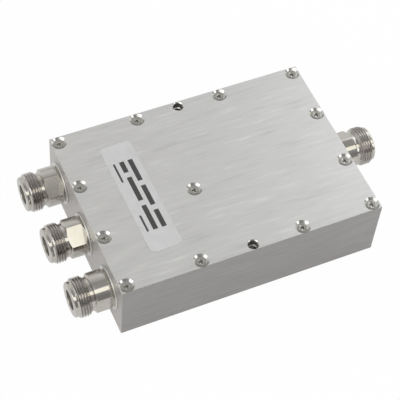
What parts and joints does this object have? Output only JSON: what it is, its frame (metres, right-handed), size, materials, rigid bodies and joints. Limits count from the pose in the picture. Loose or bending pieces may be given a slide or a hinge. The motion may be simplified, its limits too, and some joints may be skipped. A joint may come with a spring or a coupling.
{
  "type": "rf power splitter",
  "caption": "Coaxial power splitter: a flat machined aluminium case with a screwed lid, threaded sockets on both ends and a divider board inside.",
  "frame": {"origin": "middle of the case's underside, half way between the mouths of the sockets", "axes": "+X towards the single input socket, +Y towards the long side with the closer lid screws, +Z out of the lid"},
  "size_m": [0.1416, 0.078, 0.0283],
  "materials": {
    "case": "machined, fine grain",
    "lid": "brushed lengthwise",
    "label": "satin film",
    "lid_screw": "bright",
    "socket_body": "nickel plate, bright",
    "washer": "nickel plate, bright",
    "insulator": "smooth, waxy",
    "contact": "gold plate",
    "board": "bare laminate",
    "copper": "bright copper",
    "resistor": "matt",
    "board_screw": "bright"
  },
  "bodies": {
    "root": {"housing": "case", "lid": "lid", "label": "label", "lid_screw_field": "lid_screw", "lid_screw_input_corner_back": "lid_screw", "lid_screw_input_end_back": "lid_screw", "lid_screw_back_row_input": "lid_screw", "lid_screw_input_corner_front": "lid_screw", "lid_screw_input_end_front": "lid_screw", "lid_screw_front_row_input": "lid_screw", "lid_screw_output_corner_back": "lid_screw", "lid_screw_output_end_back": "lid_screw", "lid_screw_back_row_output": "lid_screw", "lid_screw_output_corner_front": "lid_screw", "lid_screw_output_end_front": "lid_screw", "lid_screw_front_row_output": "lid_screw", "input_socket_body": "socket_body", "input_washer": "washer", "input_insulator": "insulator", "input_contact": "contact", "output_front_socket_body": "socket_body", "output_front_washer": "washer", "output_front_insulator": "insulator", "output_front_contact": "contact", "output_middle_socket_body": "socket_body", "output_middle_washer": "washer", "output_middle_insulator": "insulator", "output_middle_contact": "contact", "output_back_socket_body": "socket_body", "output_back_washer": "washer", "output_back_insulator": "insulator", "output_back_contact": "contact", "circuit_board": "board", "copper_traces": "copper", "resistor_back_1": "resistor", "resistor_front_1": "resistor", "resistor_back_2": "resistor", "resistor_front_2": "resistor", "resistor_back_3": "resistor", "resistor_front_3": "resistor", "board_screw_1": "board_screw", "board_screw_2": "board_screw", "board_screw_3": "board_screw", "board_screw_4": "board_screw", "board_screw_5": "board_screw", "board_screw_6": "board_screw", "board_screw_7": "board_screw", "board_screw_8": "board_screw"}
  },
  "joints": []
}
